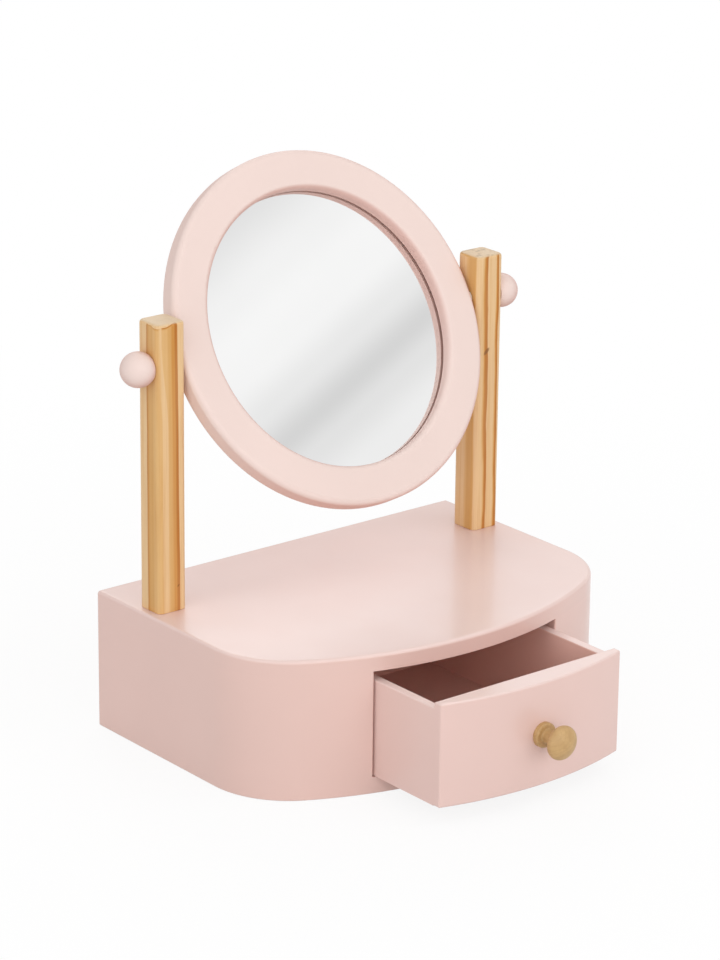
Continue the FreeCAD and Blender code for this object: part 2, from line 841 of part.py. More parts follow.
def make_drawer_front():
    """Flat at the back and bowed in front, so that it closes flush with the box."""
    body = new_body("drawer_front")
    outline = new_sketch(body)
    half, back, middle = value("front_half"), value("front_back_y"), value("bow_centre")
    radius = value("bow_radius")
    turn = math.acos(half / radius)
    end_y = middle - radius * math.sin(turn)
    left, bow, right, rear = outline.addGeometry([
        line((-half, back), (-half, end_y)),
        arc((0, middle), radius, math.pi + turn, 2 * math.pi - turn),
        line((half, end_y), (half, back)),
        line((half, back), (-half, back)),
    ])
    for first, second in ((left, bow), (bow, right), (right, rear), (rear, left)):
        relate(outline, "Coincident", first, END, second, START)
    relate(outline, "Vertical", left)
    relate(outline, "Vertical", right)
    relate(outline, "Horizontal", rear)
    pin_x(outline, bow, CENTRE, "0")
    pin_y(outline, bow, CENTRE, "bow_centre")
    measure(outline, "Radius", bow, formula="bow_radius")
    pin_x(outline, left, START, "-front_half")
    pin_x(outline, right, END, "front_half")
    pin_y(outline, rear, START, "front_back_y")
    pad(body, outline, "front_height")
    top, bottom, at_rear = lies_at(z="front_height"), lies_at(z="0"), lies_at(y="front_back_y")
    round_edges(body, "front_edge_round",
                lambda edge: top(edge) or (bottom(edge) or upright(edge)) and not at_rear(edge))
    make_front_joints(body)
    pull_out(body)


def make_front_joints(body):
    """Grooves for the sides' tongues and the floor, and the knob's screw hole, cut from the flat back."""
    tongues = new_sketch(body, "XZ_Plane", "-(front_back_y)")
    for sign in ("", "-"):
        near = f"{sign}(side_inner - groove_clearance)"
        far = f"{sign}(side_inner + tongue_thickness + groove_clearance)"
        rectangle(tongues, (near, far), ("0", "side_height + groove_clearance"))
    pocket(body, tongues, "tongue_length + groove_clearance", Reversed=True)
    groove_sketch = new_sketch(body, "XZ_Plane", "-(front_back_y)")
    rectangle(groove_sketch, ("-side_inner", "side_inner"), ("floor_lift", "floor_top"))
    pocket(body, groove_sketch, "floor_groove", Reversed=True)
    screw = new_sketch(body, "XZ_Plane", "-(front_back_y)")
    circles(screw, [("0", "front_height / 2")], "knob_screw_diameter + 2 * fastener_clearance")
    pocket(body, screw, "front_back_y + base_depth / 2 + knob_flange_thickness", Reversed=True)


BRAD_MIDDLE = "(floor_top + side_height) / 2"
BRAD_Y = "drawer_rear_y - drawer_back_thickness / 2"
BRADS = [(BRAD_Y, f"{BRAD_MIDDLE} - brad_spacing / 2"), (BRAD_Y, f"{BRAD_MIDDLE} + brad_spacing / 2")]


def make_right_side():
    """A side whose inner half goes on as a tongue into the drawer's front."""
    body = new_body("drawer_right_side")
    outline = new_sketch(body)
    tongue, tongue_end = "side_inner + tongue_thickness", "front_back_y - tongue_length"
    polygon(outline, [
        ("side_inner", tongue_end),
        (tongue, tongue_end),
        (tongue, "front_back_y"),
        ("side_outer", "front_back_y"),
        ("side_outer", "drawer_rear_y"),
        ("side_inner", "drawer_rear_y"),
    ])
    pad(body, outline, "side_height")
    round_edges(body, "side_top_round",
                lambda edge: lies_at(z="side_height")(edge) and behind("front_back_y")(edge))
    groove_sketch = new_sketch(body, "XZ_Plane")
    rectangle(groove_sketch, ("side_inner - floor_groove", "side_inner + floor_groove"), ("floor_lift", "floor_top"))
    pocket(body, groove_sketch)
    brads = new_sketch(body, "YZ_Plane")
    circles(brads, BRADS, "brad_diameter + 2 * fastener_clearance")
    pocket(body, brads)
    pull_out(body)
    return body


def make_drawer_back():
    body = new_body("drawer_back")
    outline = new_sketch(body, offset="floor_top")
    rectangle(outline, ("-side_inner", "side_inner"), ("drawer_rear_y - drawer_back_thickness", "drawer_rear_y"))
    pad(body, outline, "side_height - floor_top")
    round_edges(body, "side_top_round",
                lambda edge: lies_at(z="side_height")(edge) and not lies_at(x="side_inner")(edge)
                and not lies_at(x="-side_inner")(edge))
    for sign, outward in (("", False), ("-", True)):
        brads = new_sketch(body, "YZ_Plane", f"{sign}(side_inner)")
        circles(brads, BRADS, "brad_diameter + 2 * fastener_clearance")
        pocket(body, brads, "brad_length - side_thickness + fastener_clearance", Reversed=outward)
    pull_out(body)


def make_drawer_floor():
    body = new_body("drawer_bottom")
    outline = new_sketch(body, offset="floor_lift")
    half = "side_inner + floor_groove - groove_clearance"
    front = "front_back_y - floor_groove + groove_clearance"
    polygon(outline, [
        ("-side_inner", front),
        ("side_inner", front),
        ("side_inner", "front_back_y"),
        (half, "front_back_y"),
        (half, "drawer_rear_y"),
        (f"-({half})", "drawer_rear_y"),
        (f"-({half})", "front_back_y"),
        ("-side_inner", "front_back_y"),
    ])
    pad(body, outline, "floor_thickness")
    pull_out(body)


def make_drawer_brads():
    body = new_body("drawer_brads")
    for sign, inward in (("", True), ("-", False)):
        brads = new_sketch(body, "YZ_Plane", f"{sign}(side_outer)")
        circles(brads, BRADS, "brad_diameter")
        pad(body, brads, "brad_length", Reversed=inward)
    pull_out(body)


def make_drawer_knob():
    """A turned knob along Y: flange on the drawer front, a cove up to the neck, and a flattened ball with two domes."""
    body = new_body("drawer_knob")
    section = new_sketch(body)
    reach, centre = value("knob_reach"), value("knob_ball_centre")
    flange, flange_end = value("knob_flange_diameter / 2"), value("knob_flange_thickness")
    neck, side = value("knob_neck_diameter / 2"), value("knob_side_round")
    cove = value("knob_cove_radius")
    bore, depth = value("knob_screw_diameter / 2 + fastener_clearance"), value("knob_screw_grip + fastener_clearance")
    side_x = value("knob_diameter / 2") - side
    half = reach - centre
    dome = (half ** 2 + side_x ** 2 - side ** 2) / (2 * (half - side))
    dome_y = reach - dome
    tangent = math.atan2(centre - dome_y, side_x)
    rear_dome_y = 2 * centre - dome_y
    neck_angle = math.acos(neck / dome)
    neck_y = rear_dome_y - dome * math.sin(neck_angle)
    dome_arc, side_arc, rear_arc, neck_line, cove_arc, step, rim, face, wall, end, axis = section.addGeometry([
        arc((0, -dome_y), dome, -math.pi / 2, -tangent),
        arc((side_x, -centre), side, -tangent, tangent),
        arc((0, -rear_dome_y), dome, tangent, neck_angle),
        line((neck, -neck_y), (neck, -flange_end - cove)),
        arc((neck + cove, -flange_end - cove), cove, math.pi / 2, math.pi),
        line((neck + cove, -flange_end), (flange, -flange_end)),
        line((flange, -flange_end), (flange, 0)),
        line((flange, 0), (bore, 0)),
        line((bore, 0), (bore, -depth)),
        line((bore, -depth), (0, -depth)),
        line((0, -depth), (0, -reach)),
    ])
    relate(section, "Tangent", dome_arc, END, side_arc, START)
    relate(section, "Tangent", side_arc, END, rear_arc, START)
    relate(section, "Equal", dome_arc, rear_arc)
    relate(section, "Coincident", rear_arc, END, neck_line, START)
    relate(section, "Tangent", neck_line, END, cove_arc, END)
    relate(section, "Tangent", cove_arc, START, step, START)
    chain = [step, rim, face, wall, end, axis, dome_arc]
    for first, second in zip(chain, chain[1:]):
        relate(section, "Coincident", first, END, second, START)
    for upright_line in (neck_line, rim, wall):
        relate(section, "Vertical", upright_line)
    for level_line in (step, face, end):
        relate(section, "Horizontal", level_line)
    pin_x(section, dome_arc, CENTRE, "0")
    pin_x(section, rear_arc, CENTRE, "0")
    pin_x(section, axis, START, "0")
    pin_x(section, axis, END, "0")
    pin_y(section, axis, END, "-knob_reach")
    pin_y(section, side_arc, CENTRE, "-knob_ball_centre")
    pin_x(section, side_arc, CENTRE, "knob_diameter / 2 - knob_side_round")
    measure(section, "Radius", side_arc, formula="knob_side_round")
    measure(section, "Radius", cove_arc, formula="knob_cove_radius")
    pin_x(section, neck_line, START, "knob_neck_diameter / 2")
    pin_y(section, step, END, "-knob_flange_thickness")
    pin_x(section, rim, START, "knob_flange_diameter / 2")
    pin_y(section, face, START, "0")
    pin_x(section, wall, START, "knob_screw_diameter / 2 + fastener_clearance")
    pin_y(section, end, START, "-(knob_screw_grip + fastener_clearance)")
    revolve(body, section, "V_Axis")
    round_edges(body, "knob_flange_round", lambda edge: lies_at(y="-knob_flange_thickness")(edge)
                and abs(math.hypot(edge_points(edge)[0].x, edge_points(edge)[0].z) - flange) < TOLERANCE)
    place(body, "0", "-(base_depth / 2) - drawer_pull", "knob_z")


def make_knob_screw():
    """A round-headed screw from inside the drawer into the knob."""
    body = new_body("drawer_knob_screw")
    section = new_sketch(body)
    tip = "-(base_depth / 2) - knob_screw_grip"
    head_end = "front_back_y + knob_screw_head_height"
    polygon(section, [
        ("0", tip),
        ("knob_screw_diameter / 2", tip),
        ("knob_screw_diameter / 2", "front_back_y"),
        ("knob_screw_head / 2", "front_back_y"),
        ("knob_screw_head / 2", head_end),
        ("0", head_end),
    ])
    revolve(body, section, "V_Axis")
    round_edges(body, "knob_screw_head_height / 2", lies_at(y=head_end))
    pull_out(body, "knob_z")


def make_drawer():
    make_drawer_front()
    mirrored("drawer_left_side", make_right_side())
    make_drawer_back()
    make_drawer_floor()
    make_drawer_brads()
    make_drawer_knob()
    make_knob_screw()


def sub_parts():
    return [thing for thing in doc.Objects if thing.TypeId in ("PartDesign::Body", "Part::Mirroring")]


def write_parts():
    doc.recompute()
    for thing in doc.Objects:
        if {"Invalid", "Error"} & set(thing.State):
            raise RuntimeError(f"{thing.Label} failed: {thing.State}")
    for piece in sub_parts():
        if piece.Shape.isNull() or not piece.Shape.isValid() or not piece.Shape.Solids:
            raise RuntimeError(f"{piece.Label} has no valid solid")
    os.makedirs("parts", exist_ok=True)
    for piece in sub_parts():
        piece.Shape.exportStep(f"parts/{piece.Label}.step")
        print(f"{piece.Label}: {len(piece.Shape.Solids)} solids, {piece.Shape.Volume:.1f} mm3")


make_box()
make_box_fasteners()
mirrored("left_post", make_right_post())
make_mirror()
make_drawer()
write_parts()
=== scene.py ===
import json
import math

import bmesh
import bpy
from mathutils import Matrix, Vector


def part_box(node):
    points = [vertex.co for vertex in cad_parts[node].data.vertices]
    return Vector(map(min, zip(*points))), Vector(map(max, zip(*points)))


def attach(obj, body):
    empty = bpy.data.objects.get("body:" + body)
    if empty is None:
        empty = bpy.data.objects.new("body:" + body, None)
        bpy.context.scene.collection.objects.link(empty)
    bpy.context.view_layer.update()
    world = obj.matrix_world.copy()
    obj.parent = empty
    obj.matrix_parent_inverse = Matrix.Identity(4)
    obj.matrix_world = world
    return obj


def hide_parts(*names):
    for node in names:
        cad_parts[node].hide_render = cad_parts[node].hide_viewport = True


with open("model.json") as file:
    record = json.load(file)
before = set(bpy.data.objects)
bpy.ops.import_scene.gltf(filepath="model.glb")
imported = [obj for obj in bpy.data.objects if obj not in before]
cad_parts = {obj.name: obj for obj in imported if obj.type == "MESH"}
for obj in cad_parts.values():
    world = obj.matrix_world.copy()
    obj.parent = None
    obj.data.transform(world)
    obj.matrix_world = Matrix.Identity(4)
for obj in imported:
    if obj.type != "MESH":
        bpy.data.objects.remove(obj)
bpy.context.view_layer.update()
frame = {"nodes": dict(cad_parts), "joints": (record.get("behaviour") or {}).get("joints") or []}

# Tabletop makeup mirror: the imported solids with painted, wooden and metal surfaces,
# a silvered disc for the mirror, and screws with cross recesses. Metres.

nodes = frame["nodes"]
MM = 0.001

# Places on the object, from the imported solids
TILT = next(joint for joint in frame["joints"] if joint["name"] == "mirror_tilt")
PIVOT = Vector(TILT["pos_m"])
LEAN = math.radians(29)  # how far the mirror leans back at rest
GLASS_NORMAL = Vector((0, -math.cos(LEAN), math.sin(LEAN)))
GLASS_UP = Vector((0, math.sin(LEAN), math.cos(LEAN)))
LIP_SHADE_MIDDLE = PIVOT - GLASS_UP * 60 * MM  # low in the ring, so that the lip's painted shade is deepest at the top
DRAWER_MIDDLE = (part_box("drawer_left_side")[0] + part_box("drawer_right_side")[1]) / 2
SHEET_DEPTH = 1.2 * MM  # how far behind the mirror's front its silvering looks to lie

# Colours, linear. The paint is one pink; its other tones are painted light and shade that go with the way a
# surface faces.
PINK = (0.80, 0.555, 0.495)
# painted light: the paler pink of up-facing surfaces
PAINTED_LIGHT_TOP_PINK = (0.855, 0.65, 0.60)
DRAWER_PINK = (0.83, 0.59, 0.535)
# painted reddish bounce light and shade on the drawer's inside faces
PAINTED_BOUNCE_INSIDE_PINK = (0.86, 0.555, 0.48)
BOARD_PINK = (0.82, 0.525, 0.45)
# painted light on the ring's and balls' faces that turn to the front-left light
PAINTED_LIGHT_SIDE_PINK = (0.865, 0.695, 0.64)
# painted shade on the ring's and balls' faces turned away from that light
PAINTED_SHADE_PINK = (0.75, 0.487, 0.424)
# painted shade in the ring's inner lip
PAINTED_SHADE_LIP_PINK = (0.70, 0.46, 0.405)
PALE_PINE = (0.82, 0.56, 0.30)
LIGHT_PINE = (0.75, 0.46, 0.19)
GOLD_PINE = (0.69, 0.385, 0.125)
WARM_PINE = (0.62, 0.28, 0.06)
DARK_PINE = (0.48, 0.165, 0.02)
FLECK_PINE = (0.27, 0.11, 0.03)
END_PINE = (0.74, 0.58, 0.40)
END_STAIN = (0.42, 0.33, 0.23)
KNOB_LIGHT = (0.61, 0.39, 0.17)
KNOB_DARK = (0.49, 0.29, 0.115)
BEECH = (0.62, 0.45, 0.28)
ZINC = (0.66, 0.66, 0.64)
BRASS = (0.74, 0.55, 0.24)
NYLON = (0.74, 0.68, 0.58)
DULL_SILVER = (0.925, 0.925, 0.923)
BRIGHT_SILVER = (0.938, 0.938, 0.936)

# Directions from which painted light falls on the paint, where it is palest
UP = (0, 0, 1)
LIT_SIDE = (-0.6, -0.65, 0.47)
FULLY_TOWARDS = 0.79  # the cosine between normal and direction from which a surface has all of the painted light

# Tones of the posts' wood, at distances in millimetres from the pith
LEFT_GROWTH = [
    (0.0, GOLD_PINE), (5.2, GOLD_PINE), (6.4, LIGHT_PINE), (9.0, LIGHT_PINE), (10.2, GOLD_PINE),
    (11.4, GOLD_PINE), (12.4, WARM_PINE), (13.6, WARM_PINE), (14.2, DARK_PINE), (15.5, DARK_PINE),
    (15.85, PALE_PINE), (20.0, PALE_PINE), (23.5, LIGHT_PINE), (25.0, WARM_PINE), (26.0, DARK_PINE),
    (26.3, PALE_PINE), (31.0, GOLD_PINE),
]
LEFT_SIDE_GROWTH = [
    (0.0, LIGHT_PINE), (7.5, LIGHT_PINE), (9.0, GOLD_PINE), (11.6, GOLD_PINE), (12.8, WARM_PINE),
    (13.7, DARK_PINE), (14.0, PALE_PINE), (22.0, PALE_PINE), (24.0, GOLD_PINE), (25.0, WARM_PINE),
    (25.3, PALE_PINE), (31.0, LIGHT_PINE),
]
RIGHT_GROWTH = [
    (0.0, LIGHT_PINE), (5.0, PALE_PINE), (12.0, PALE_PINE), (13.6, LIGHT_PINE), (15.0, GOLD_PINE),
    (19.4, GOLD_PINE), (20.2, PALE_PINE), (22.9, PALE_PINE), (23.4, LIGHT_PINE), (23.6, WARM_PINE),
    (24.0, DARK_PINE), (24.6, DARK_PINE), (24.8, PALE_PINE), (27.2, PALE_PINE), (27.8, LIGHT_PINE),
    (28.1, WARM_PINE), (28.5, DARK_PINE), (29.0, DARK_PINE), (29.3, PALE_PINE), (34.0, LIGHT_PINE),
]

# Each post's growth on its front and left faces. Then, in millimetres from its middle line: the pith's x
# and y, a knot's x with its height above the ground and its size, the x of a pale streak at the top and lower
# down, and how far the rings sway. Last, how stained its end is.
POSTS = {
    "left": ((LEFT_GROWTH, LEFT_SIDE_GROWTH), (-11.4, -12.6), (3.4, 94, 1.5), (-8.4, -4.6), 0.4, 0.15),
    "right": ((RIGHT_GROWTH, RIGHT_GROWTH), (-14, 12), (-2.1, 186, 4.2), (2.0, 1.6), 0.2, 0.9),
}
PITH_LEAN = 0.006
PITH_LEVEL = 0.7  # the share of the height at which the leaning pith is where it is said to be
WOBBLE_REACH = 0.2 * MM
WAVER_REACH = 0.9 * MM
CORNER_BLEND = 1.5 * MM  # how wide the front face's growth runs into the left one's, to each side
END_DEPTHS = (1.0 * MM, 0.2 * MM)  # below the top, where the end grain begins and is complete

# The rings close over at the top end: from this depth below it to this height above it, their tone comes to be
# that of a distance from the pith, less a share of their own distance
CLOSING_DEPTH, CLOSING_HEIGHT, CLOSING_DISTANCE, CLOSING_SHARE = 5 * MM, 0.6 * MM, 21 * MM, 0.15

# The pale streak: depths below the top between which it moves over, half its width and where its edge ends
STREAK_LOW, STREAK_HIGH = 60 * MM, 8 * MM
STREAK_HALF_WIDTH, STREAK_EDGE = 1.5 * MM, 2.3 * MM
KNOT_SLIMNESS = 0.45

# How finely the pine's patterns vary, per metre along x, y and z
SWAY_GRAIN = (10, 10, 8)
WOBBLE_GRAIN = (130, 130, 24)
WAVER_GRAIN = (110, 110, 20)
BAND_GRAIN = (520, 520, 9)
FIBRE_GRAIN = (1500, 1500, 26)
PATCH_GRAIN = (150, 150, 10)

# The knob's growth rings: their middle beside the knob's axis, in x and z, and their width
KNOB_PITH = (-7 * MM, 9 * MM)
KNOB_RING = 2.6 * MM


# Materials: short ways to add and join shader nodes


class Surface:
    """A new material with one principled shader, and the object's own coordinates in metres."""

    def __init__(self, name):
        self.material = bpy.data.materials.new(name)
        self.material.use_nodes = True
        self.tree = self.material.node_tree
        self.shader = self.tree.nodes["Principled BSDF"]
        coordinates = self.add("TexCoord").outputs
        self.where, self.normal = coordinates["Object"], coordinates["Normal"]

    def add(self, kind, settings=None, inputs=None):
        return add_node(self.tree, kind, settings, inputs)

    def set(self, **inputs):
        """Values or sockets for the shader, with _ for each space in a socket's name."""
        for name, given in inputs.items():
            feed(self.tree, self.shader.inputs[name.replace("_", " ")], given)

    def calc(self, operation, *values):
        return calculate(self.tree, operation, *values)

    def hypotenuse(self, first, second):
        squares = self.calc("ADD", self.calc("MULTIPLY", first, first), self.calc("MULTIPLY", second, second))
        return self.calc("SQRT", squares)

    def axes(self):
        return self.add("SeparateXYZ", inputs={"Vector": self.where}).outputs

    def vector(self, operation, first, second):
        return self.add("VectorMath", {"operation": operation}, {0: first, 1: second}).outputs

    def along(self, first, second):
        return self.vector("DOT_PRODUCT", first, second)["Value"]

    def scaled(self, x, y, z):
        return self.vector("MULTIPLY", self.where, (x, y, z))["Vector"]

    def noise(self, scale, detail=2.0, where=None, rough=0.5):
        made = self.add("TexNoise", inputs={
            "Vector": where or self.where, "Scale": scale, "Detail": detail, "Roughness": rough})
        return made.outputs["Fac"]

    def grain(self, scales, detail, rough=0.5):
        """Noise that varies by its own scale along each axis."""
        return self.noise(1, detail, self.scaled(*scales), rough)

    def between(self, amount, low, high, start=0.3, end=0.7):
        """A number that goes from low to high as amount goes from start to end."""
        made = self.add("MapRange", {"interpolation_type": "SMOOTHSTEP"}, {
            "Value": amount, "From Min": start, "From Max": end, "To Min": low, "To Max": high})
        return made.outputs["Result"]

    def mix(self, amount, first, second):
        made = self.add("Mix", {"data_type": "RGBA"})
        for socket, given in ((made.inputs[0], amount), (made.inputs[6], first), (made.inputs[7], second)):
            feed(self.tree, socket, (*given, 1) if isinstance(given, tuple) else given)
        return made.outputs[2]

    def ramp(self, amount, stops, interpolation="LINEAR"):
        return add_ramp(self.tree, amount, stops, interpolation)

    def bump(self, height, strength, depth, under=None):
        inputs = {"Height": height, "Strength": strength, "Distance": depth}
        made = self.add("Bump", inputs=inputs | ({"Normal": under} if under else {}))
        return made.outputs["Normal"]


def feed(tree, socket, given):
    if isinstance(given, bpy.types.NodeSocket):
        tree.links.new(given, socket)
    elif isinstance(given, tuple) and len(given) == 3 and socket.type == "RGBA":
        socket.default_value = (*given, 1)
    else:
        socket.default_value = given


def add_node(tree, kind, settings=None, inputs=None):
    node = tree.nodes.new("ShaderNode" + kind)
    for name, setting in (settings or {}).items():
        setattr(node, name, setting)
    for name, given in (inputs or {}).items():
        feed(tree, node.inputs[name], given)
    return node


def calculate(tree, operation, *values):
    node = add_node(tree, "Math", {"operation": operation})
    for socket, given in zip(node.inputs, values):
        feed(tree, socket, given)
    return node.outputs[0]


def add_ramp(tree, amount, stops, interpolation):
    """A ramp through stops, each a position and a colour or a grey."""
    node = add_node(tree, "ValToRGB", inputs={"Fac": amount})
    node.color_ramp.interpolation = interpolation
    elements = node.color_ramp.elements
    while len(elements) < len(stops):
        elements.new(1.0)
    for element, (position, colour) in zip(elements, stops):
        element.position = position
        element.color = (*colour, 1) if isinstance(colour, tuple) else (colour, colour, colour, 1)
    return node.outputs["Color"]


def shade(colour, share):
    return tuple(channel * share for channel in colour)


def dress(surface, *names):
    for name in names:
        for slot in nodes[name].material_slots:
            slot.material = surface.material


# Paint, wood, metal and plastic

# How finely the paint's drift of tone, its patches of gloss and its orange peel vary, per metre
DRIFT_SCALE, GLOSS_SCALE, PEEL_SCALE = 11, 38, 620
DRIFT_LOW, DRIFT_HIGH = 0.98, 1.015  # shares of the tone
GLOSSIER, DULLER = -0.04, 0.05  # added to the roughness
PEEL_DEPTH = 0.2 * MM
COAT_ROUGHNESS = 0.15
INSIDE_START = 10 * MM  # a surface with the middle nearer than this in front of it isn't inside
INSIDE_SPECULAR = 0.1


def painted(name, colour, roughness=0.34, peel=0.05, coat=0.3, specular=0.5, painted_light=None, towards=UP,
            inside=None):
    """Sprayed satin paint: a slow drift of tone, a fine orange peel and patches of more or less gloss.

    Where a colour of painted light is given, the surfaces that face towards a direction have it: painted
    light. An inside is a colour, a middle and a reach: the surfaces that look in to that middle have that
    colour and little gloss, fully so where the middle lies as far as the reach in front of them. That colour
    is painted shade, or painted reddish bounce light and shade.
    """
    paint = Surface(name)
    drift = paint.between(paint.noise(DRIFT_SCALE, 3), 0, 1)

    def drifting(tone):
        return paint.mix(drift, shade(tone, DRIFT_LOW), shade(tone, DRIFT_HIGH))

    tone = drifting(colour)
    # painted light: a paler tone on the surfaces that face towards the given direction
    if painted_light:
        facing = paint.between(paint.along(paint.normal, towards), 0, 1, 0.0, FULLY_TOWARDS)
        tone = paint.mix(facing, tone, drifting(painted_light))
    # painted shade, or painted reddish bounce light and shade, on the surfaces that look in to the middle
    if inside:
        inner_colour, middle, reach = inside
        from_middle = paint.vector("SUBTRACT", paint.where, middle)["Vector"]
        outwards = paint.between(paint.along(from_middle, paint.normal), 0.0, 1.0, -reach, -INSIDE_START)
        tone = paint.mix(outwards, drifting(inner_colour), tone)
        coat = paint.calc("MULTIPLY", outwards, coat)
        specular = paint.between(outwards, INSIDE_SPECULAR, specular, 0.0, 1.0)
    paint.set(
        Base_Color=tone,
        Roughness=paint.between(paint.noise(GLOSS_SCALE, 4), roughness + GLOSSIER, roughness + DULLER),
        Specular_IOR_Level=specular,
        Normal=paint.bump(paint.noise(PEEL_SCALE, 2), peel, PEEL_DEPTH),
        Coat_Weight=coat,
        Coat_Roughness=COAT_ROUGHNESS,
    )
    return paint


def pine(name, post, growths, pith, knot, streak, sway, stained):
    """Pine sawn along its grain, with a pith line near Z: growths give a tone at each distance from it.

    The rings close over at the top end, where the eased edges cut across them. POSTS says what is given.
    """
    low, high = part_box(post)
    middle, top = (low + high) / 2, high.z
    wood = Surface(name)
    x, y, z = wood.axes()

    # Rings about a pith that leans and wanders
    wander = wood.between(wood.grain(SWAY_GRAIN, 2), -sway * MM, sway * MM)
    wobble = wood.between(wood.grain(WOBBLE_GRAIN, 3), -WOBBLE_REACH, WOBBLE_REACH)
    shift = wood.calc("ADD", wander, wobble)
    leaning = wood.calc("MULTIPLY_ADD", z, PITH_LEAN, -PITH_LEAN * top * PITH_LEVEL)
    from_pith = wood.calc("ADD", wood.calc("SUBTRACT", x, middle.x + pith[0] * MM), shift)
    off_x = wood.calc("ADD", from_pith, leaning)
    off_y = wood.calc("SUBTRACT", wood.calc("SUBTRACT", y, middle.y + pith[1] * MM), shift)
    radius = wood.hypotenuse(off_x, off_y)
    waver = wood.between(wood.grain(WAVER_GRAIN, 1), -WAVER_REACH, WAVER_REACH)
    height = wood.calc("ADD", z, waver)
    rise = wood.between(height, 0.0, CLOSING_DISTANCE, top - CLOSING_DEPTH, top + CLOSING_HEIGHT)
    distance = wood.calc("MAXIMUM", radius, wood.calc("MULTIPLY_ADD", radius, -CLOSING_SHARE, rise))
    front, side = (wood.ramp(wood.calc("DIVIDE", distance, growth[-1][0] * MM), [
        (at / growth[-1][0], tone) for at, tone in growth]) for growth in growths)
    sidewards = wood.between(wood.calc("SUBTRACT", off_y, off_x), 0.0, 1.0, -CORNER_BLEND, CORNER_BLEND)

    # A pale streak down the front face
    streak_top, streak_low = (middle.x + at * MM for at in streak)
    streak_x = wood.between(height, streak_low, streak_top, top - STREAK_LOW, top - STREAK_HIGH)
    beside = wood.calc("ABSOLUTE", wood.calc("SUBTRACT", wood.calc("ADD", x, wobble), streak_x))
    on_front = wood.calc("SUBTRACT", 1.0, sidewards)
    near = wood.between(beside, 0.9, 0.0, STREAK_HALF_WIDTH, STREAK_EDGE)
    in_streak = wood.calc("MULTIPLY", near, on_front)
    rings = wood.mix(in_streak, wood.mix(sidewards, front, side), PALE_PINE)

    # Bands, fibres and pale patches along the grain
    banded = wood.mix(wood.between(wood.grain(BAND_GRAIN, 2, 0.6), 0.0, 0.3, 0.45, 0.75), rings, WARM_PINE)
    fibre = wood.grain(FIBRE_GRAIN, 3, 0.6)
    streaked = wood.mix(wood.between(fibre, 0.0, 0.16, 0.4, 0.75), banded, DARK_PINE)
    toned = wood.mix(wood.between(wood.grain(PATCH_GRAIN, 2), 0.0, 0.15), streaked, PALE_PINE)

    # A small slanting knot
    knot_x, knot_z, knot_size = middle.x + knot[0] * MM, knot[1] * MM, knot[2] * MM
    from_x, from_z = wood.calc("SUBTRACT", x, knot_x), wood.calc("SUBTRACT", z, knot_z)
    lengthwise = wood.calc("DIVIDE", wood.calc("ADD", from_x, from_z), knot_size)
    across = wood.calc("DIVIDE", wood.calc("SUBTRACT", from_x, from_z), knot_size * KNOT_SLIMNESS)
    spread = wood.calc("ADD", wood.calc("POWER", lengthwise, 2.0), wood.calc("POWER", across, 2.0))
    knotted = wood.mix(wood.between(spread, 0.9, 0.0, 0.2, 1.1), toned, FLECK_PINE)

    # End grain on top
    stain = wood.between(wood.noise(240, 2), 0.0, stained, 0.5, 0.7)
    at_end = wood.between(z, 0.0, 0.8, top - END_DEPTHS[0], top - END_DEPTHS[1])
    wood.set(
        Base_Color=wood.mix(at_end, knotted, wood.mix(stain, END_PINE, END_STAIN)),
        Roughness=wood.between(fibre, 0.38, 0.5),
        Specular_IOR_Level=0.3,
        Normal=wood.bump(fibre, 0.12, 0.12 * MM),
    )
    return wood


def turned(name, axis_z, light, dark):
    """A small turned piece with its grain along Y: rings about a pith beside it, fibres and tool marks."""
    wood = Surface(name)
    x, y, z = wood.axes()
    wobble = wood.between(wood.grain((90, 40, 90), 2), -0.8 * MM, 0.8 * MM)
    off_x = wood.calc("ADD", wood.calc("SUBTRACT", x, KNOB_PITH[0]), wobble)
    off_z = wood.calc("ADD", wood.calc("SUBTRACT", z, axis_z + KNOB_PITH[1]), wobble)
    ring = wood.calc("FRACT", wood.calc("DIVIDE", wood.hypotenuse(off_x, off_z), KNOB_RING))
    middle = tuple(0.7 * a + 0.3 * b for a, b in zip(light, dark))
    rings = wood.ramp(ring, [(0.0, light), (0.5, light), (0.9, middle), (1.0, light)], "EASE")
    fibre = wood.grain((1300, 120, 1300), 3, 0.6)
    mottled = wood.mix(wood.between(wood.noise(230, 3), 0.0, 0.6), rings, dark)
    marks = wood.grain((0, 1900, 0), 1)
    wood.set(
        Base_Color=wood.mix(wood.between(fibre, 0.0, 0.35, 0.4, 0.75), mottled, dark),
        Roughness=wood.between(fibre, 0.40, 0.52),
        Normal=wood.bump(marks, 0.10, 0.1 * MM, wood.bump(fibre, 0.10, 0.1 * MM)),
    )
    return wood


def plain_wood(name, colour):
    """Beech for dowels: short pale rays on a light brown ground."""
    wood = Surface(name)
    rays = wood.grain((1400, 1400, 260), 2)
    wood.set(
        Base_Color=wood.mix(wood.between(rays, 0, 1), shade(colour, 0.78), colour),
        Roughness=0.6,
        Normal=wood.bump(rays, 0.15, 0.1 * MM),
    )
    return wood


def metal(name, colour, low, high, fineness):
    """Metal with fine marks that vary its roughness from low to high, and a faint stain in its colour."""
    made = Surface(name)
    marks = made.noise(fineness, 4)
    stain = made.between(made.noise(420, 3), 0, 1)
    made.set(
        Base_Color=made.mix(stain, shade(colour, 0.88), colour),
        Metallic=1.0,
        Roughness=made.between(marks, low, high),
        Normal=made.bump(marks, 0.05, 0.05 * MM),
    )
    return made


def plastic(name, colour):
    """Plain moulded plastic, faintly clouded."""
    made = Surface(name)
    cloud = made.noise(300, 3)
    made.set(
        Base_Color=made.mix(made.between(cloud, 0, 1), shade(colour, 0.93), colour),
        Roughness=made.between(cloud, 0.42, 0.52),
        Normal=made.bump(made.noise(2600, 2), 0.05, 0.05 * MM),
    )
    return made


